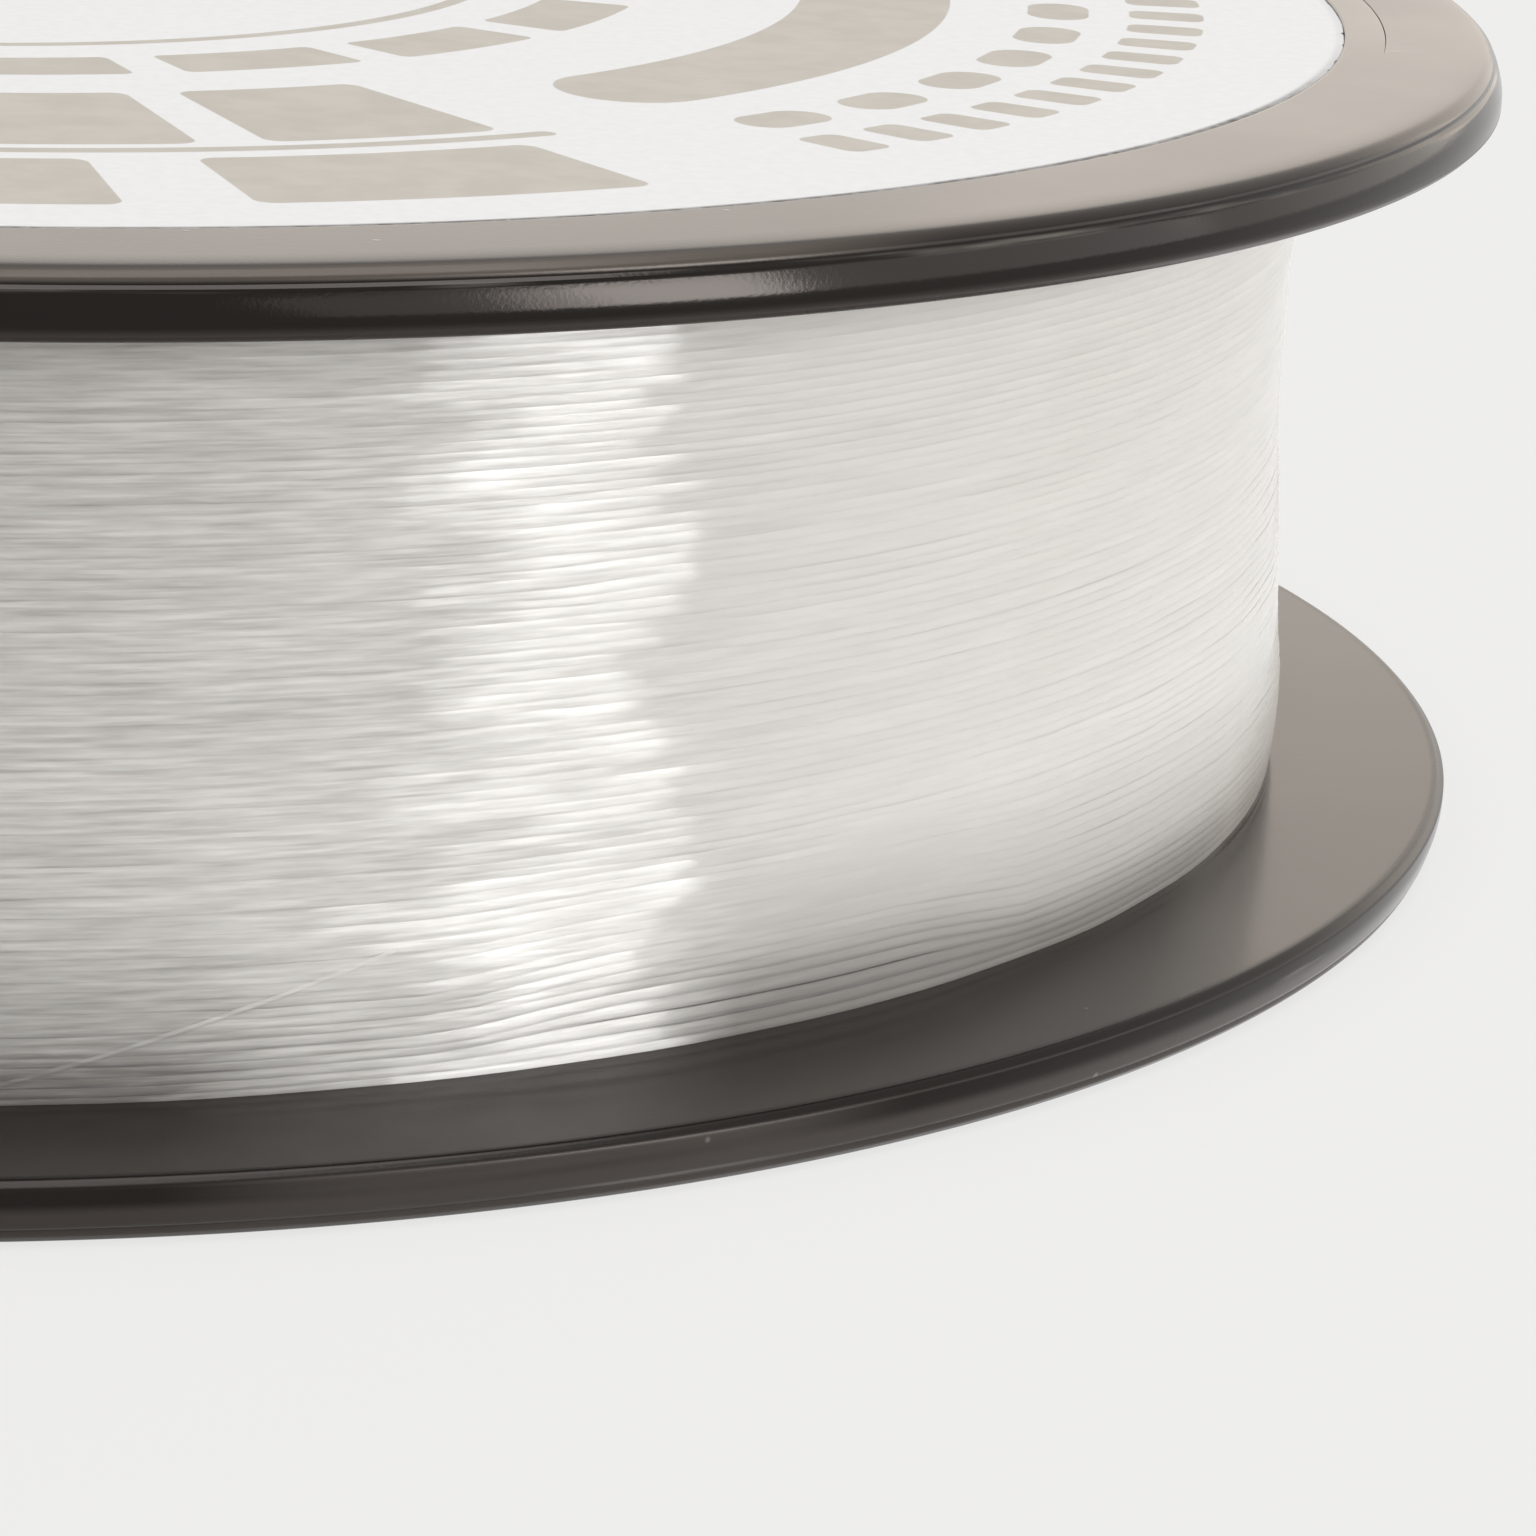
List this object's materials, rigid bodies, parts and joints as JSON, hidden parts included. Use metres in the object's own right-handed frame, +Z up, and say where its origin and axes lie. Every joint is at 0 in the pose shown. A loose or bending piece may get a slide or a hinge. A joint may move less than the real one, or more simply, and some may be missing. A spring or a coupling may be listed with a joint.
{
  "type": "fishing line spool",
  "caption": "Flat filler spool of clear monofilament: dark moulded flanges, labelled face, wound line, spindle hole from below and a line-keeper slit.",
  "frame": {"origin": "centre of the outer face of the lower flange, on the axle line", "axes": "+Z up along the axle, from the resting flange to the labelled flange; +X towards the line-keeper slit, which starts 16 degrees clockwise of it"},
  "size_m": [0.095, 0.095, 0.0236],
  "materials": {
    "black_styrene": "satin moulded polystyrene, warm black",
    "pale_styrene": "matte natural polystyrene",
    "clear_line": "clear glossy nylon monofilament, milky where it is wound in many layers",
    "label_paper": "coated white label paper with a satin print"
  },
  "bodies": {
    "root": {"upper_flange": "black_styrene", "lower_flange": "black_styrene", "drum": "pale_styrene", "line_inner_layers": "clear_line", "line_outer_turns": "clear_line", "face_label": "label_paper"}
  },
  "joints": []
}
